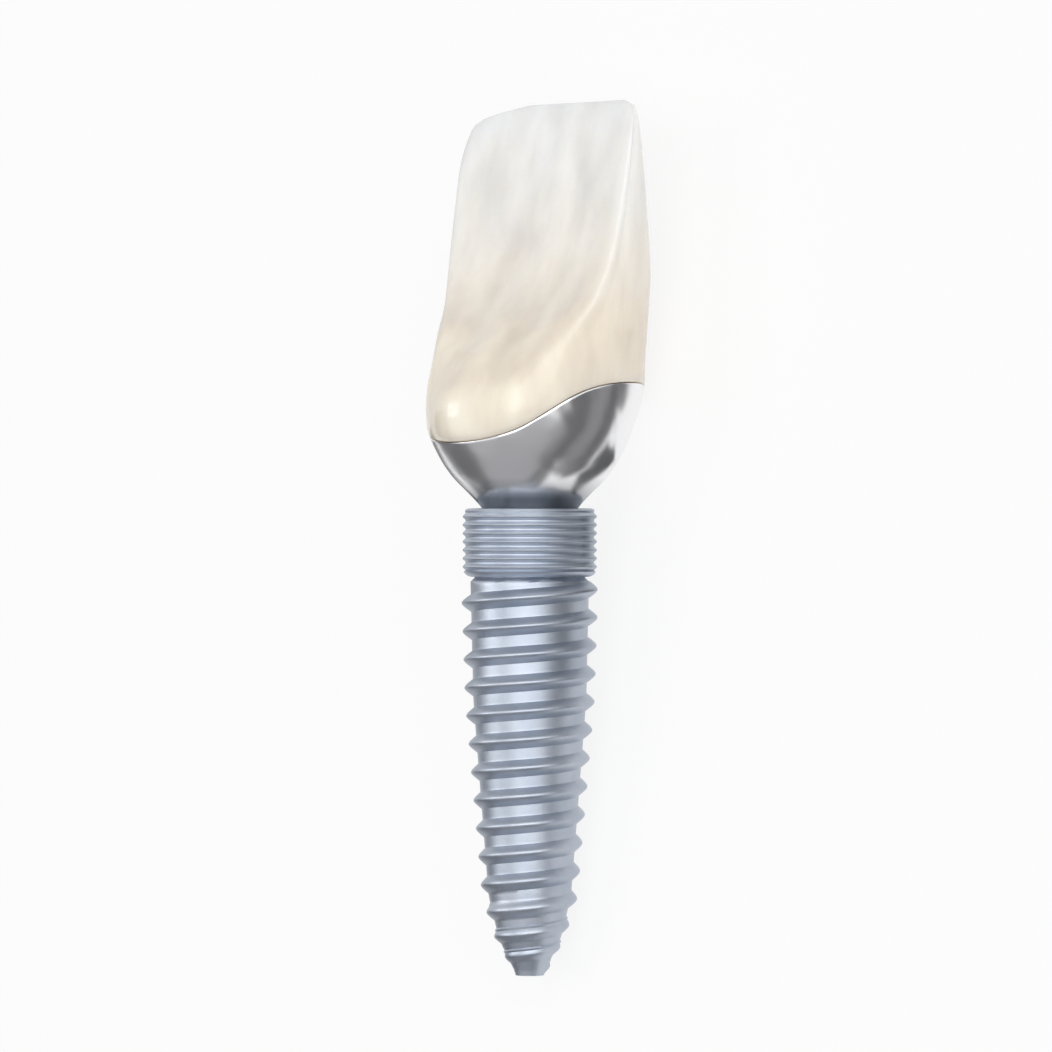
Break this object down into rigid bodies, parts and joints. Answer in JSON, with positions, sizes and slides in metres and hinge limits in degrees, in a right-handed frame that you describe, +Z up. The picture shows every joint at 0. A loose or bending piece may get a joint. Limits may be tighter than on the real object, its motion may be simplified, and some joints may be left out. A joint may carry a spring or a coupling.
{
  "type": "single-tooth dental implant",
  "caption": "Tapered threaded root implant with a ringed collar, a polished flared abutment held by an inner screw, and a cemented ceramic incisor crown.",
  "frame": {"origin": "middle of the footprint, on the table that the implant lies on", "axes": "+Y towards the crown's biting edge, +Z up, which is the crown's palatal side, +X mesial; the implant's own axis rises 6.9 degrees from the table towards +Y"},
  "size_m": [0.0064, 0.0244, 0.0058],
  "materials": {
    "fixture_titanium": "satin",
    "polished_titanium": "polished",
    "screw_titanium": "satin",
    "plug": "matte",
    "tooth_ceramic": "gloss"
  },
  "bodies": {
    "root": {"implant_fixture": "fixture_titanium", "abutment": "polished_titanium", "abutment_screw": "screw_titanium", "screw_channel_plug": "plug", "crown": "tooth_ceramic"}
  },
  "joints": []
}
